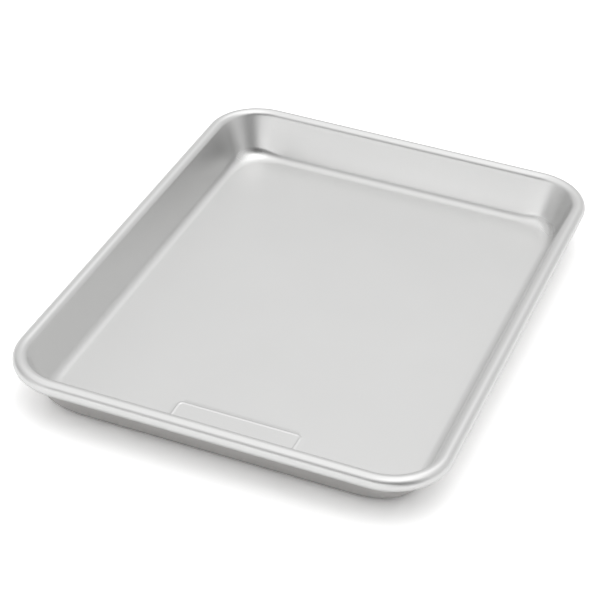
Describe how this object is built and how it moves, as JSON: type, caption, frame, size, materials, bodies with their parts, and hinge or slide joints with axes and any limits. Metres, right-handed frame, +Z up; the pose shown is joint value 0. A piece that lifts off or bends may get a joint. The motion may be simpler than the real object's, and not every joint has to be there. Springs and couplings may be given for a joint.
{
  "type": "quarter sheet pan",
  "caption": "Shallow rectangular baking pan drawn from aluminium sheet, with sloping walls, rounded corners and a rim rolled round a steel wire.",
  "frame": {"origin": "middle of the pan's plan, on the plane that the pan stands on", "axes": "+Z up out of the pan's mouth, +Y along the long side away from the stamped border, +X along the short side"},
  "size_m": [0.248, 0.326, 0.0296],
  "materials": {
    "aluminium_sheet": "bare satin mill finish, smoother on the rim",
    "galvanised_wire": "dull zinc coat"
  },
  "bodies": {
    "root": {"pan_sheet": "aluminium_sheet", "rim_wire": "galvanised_wire"}
  },
  "joints": []
}
